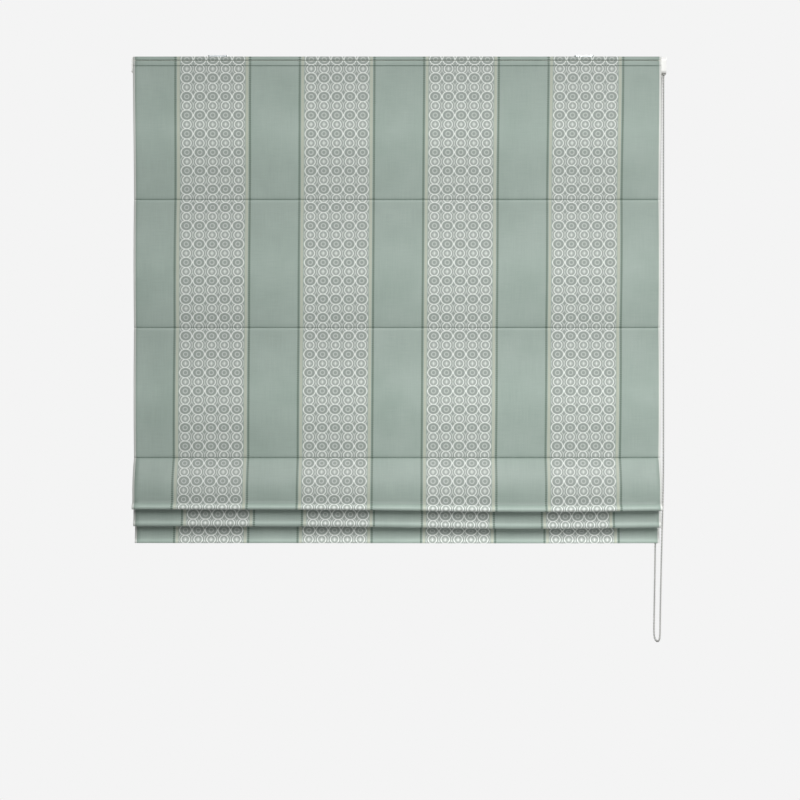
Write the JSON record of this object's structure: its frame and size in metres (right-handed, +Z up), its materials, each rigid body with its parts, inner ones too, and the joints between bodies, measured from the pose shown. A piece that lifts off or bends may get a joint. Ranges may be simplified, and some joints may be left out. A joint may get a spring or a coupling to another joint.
{
  "type": "roman blind",
  "caption": "Roman blind with a headrail, chain drive, corded rods, rings, lined cloth panels, hanging folds and a weighted hem.",
  "frame": {"origin": "on the lintel face, in the middle of the four bracket screw holes", "axes": "+X to the right seen from the room, +Y towards the window, +Z up"},
  "size_m": [1.0802, 0.0619, 1.1881],
  "materials": {
    "white_enamel": "satin white enamel on extruded aluminium",
    "white_moulding": "moulded ABS, fine satin",
    "natural_acetal": "moulded acetal, waxy",
    "plated_steel": "bright zinc plate",
    "hook_and_loop_tape": "knitted nylon pile",
    "patterned_cloth": "woven, sage green with cream ring stripes",
    "lining_cloth": "plain cotton sateen lining",
    "braided_cord": "braided polyester",
    "white_beads": "moulded white beads on a thread",
    "clear_plastic": "clear moulded plastic",
    "drawn_aluminium": "mill finish",
    "glass_fibre": "pultruded, off-white"
  },
  "bodies": {
    "headrail": {"headrail": "white_enamel", "left_end_cap": "white_moulding", "shaft_bush": "natural_acetal", "chain_drive_casing": "white_moulding", "chain_drive_cover": "white_moulding", "drive_rail_plug": "white_moulding", "brake_spring": "plated_steel", "spool_cradle_1": "white_moulding", "spool_cradle_2": "white_moulding", "spool_cradle_3": "white_moulding", "spool_cradle_4": "white_moulding", "bracket_left": "plated_steel", "bracket_right": "plated_steel", "bracket_rivet_left": "plated_steel", "bracket_rivet_right": "plated_steel", "hook_tape": "hook_and_loop_tape", "loop_tape": "hook_and_loop_tape", "face_panel_1": "patterned_cloth", "lining_panel_1": "lining_cloth", "lift_cords": "braided_cord", "pull_chain": "white_beads", "chain_connector": "clear_plastic"},
    "drive": {"drive_shaft": "drawn_aluminium", "clutch_core": "natural_acetal", "chain_wheel": "natural_acetal", "chain_on_wheel": "white_beads", "cord_spool_1": "natural_acetal", "cord_spool_2": "natural_acetal", "cord_spool_3": "natural_acetal", "cord_spool_4": "natural_acetal", "wound_cord": "braided_cord"},
    "lever_left": {"bracket_lever_left": "white_moulding"},
    "lever_right": {"bracket_lever_right": "white_moulding"},
    "upper_rod": {"rod_1": "glass_fibre", "rod_pocket_1": "lining_cloth", "cord_rings_1": "clear_plastic", "face_panel_2": "patterned_cloth", "lining_panel_2": "lining_cloth"},
    "middle_rod": {"rod_2": "glass_fibre", "rod_pocket_2": "lining_cloth", "cord_rings_2": "clear_plastic", "face_panel_3": "patterned_cloth", "lining_panel_3": "lining_cloth"},
    "stack": {"rod_3": "glass_fibre", "rod_pocket_3": "lining_cloth", "cord_rings_3": "clear_plastic", "rod_4": "glass_fibre", "rod_pocket_4": "lining_cloth", "cord_rings_4": "clear_plastic", "rod_5": "glass_fibre", "rod_pocket_5": "lining_cloth", "cord_rings_5": "clear_plastic", "face_folds": "patterned_cloth", "lining_folds": "lining_cloth", "bottom_bar": "drawn_aluminium", "bottom_bar_caps": "white_moulding", "cord_adjusters": "white_moulding"}
  },
  "joints": [
    {"name": "blind_lift", "type": "slide", "parent": "headrail", "child": "stack", "axis": [0, 0, 1], "range_m": [0, 0.7], "deforming": ["face_panel_3", "lining_panel_3", "lift_cords"]},
    {"name": "upper_rod_rise", "type": "slide", "parent": "headrail", "child": "upper_rod", "axis": [0, 0, 1], "range_m": [0, 0.227], "deforming": ["face_panel_1", "lining_panel_1"]},
    {"name": "middle_rod_rise", "type": "slide", "parent": "headrail", "child": "middle_rod", "axis": [0, 0, 1], "range_m": [0, 0.4635], "deforming": ["face_panel_2", "lining_panel_2"]},
    {"name": "shaft_turn", "type": "hinge", "parent": "headrail", "child": "drive", "pos_m": [0, 0, -0.02], "axis": [1, 0, 0], "range_deg": [0, 5250]},
    {"name": "lever_left_turn", "type": "hinge", "parent": "headrail", "child": "lever_left", "pos_m": [-0.355, 0.005, -0.004], "axis": [0, 0, 1], "range_deg": [-80, 0]},
    {"name": "lever_right_turn", "type": "hinge", "parent": "headrail", "child": "lever_right", "pos_m": [0.385, 0.005, -0.004], "axis": [0, 0, 1], "range_deg": [-80, 0]}
  ],
  "couplings": [
    {"joint": "upper_rod_rise", "follows": "blind_lift", "ratio": 0.32429},
    {"joint": "middle_rod_rise", "follows": "blind_lift", "ratio": 0.66214},
    {"joint": "shaft_turn", "follows": "blind_lift", "rad_per_m": 129.87}
  ]
}
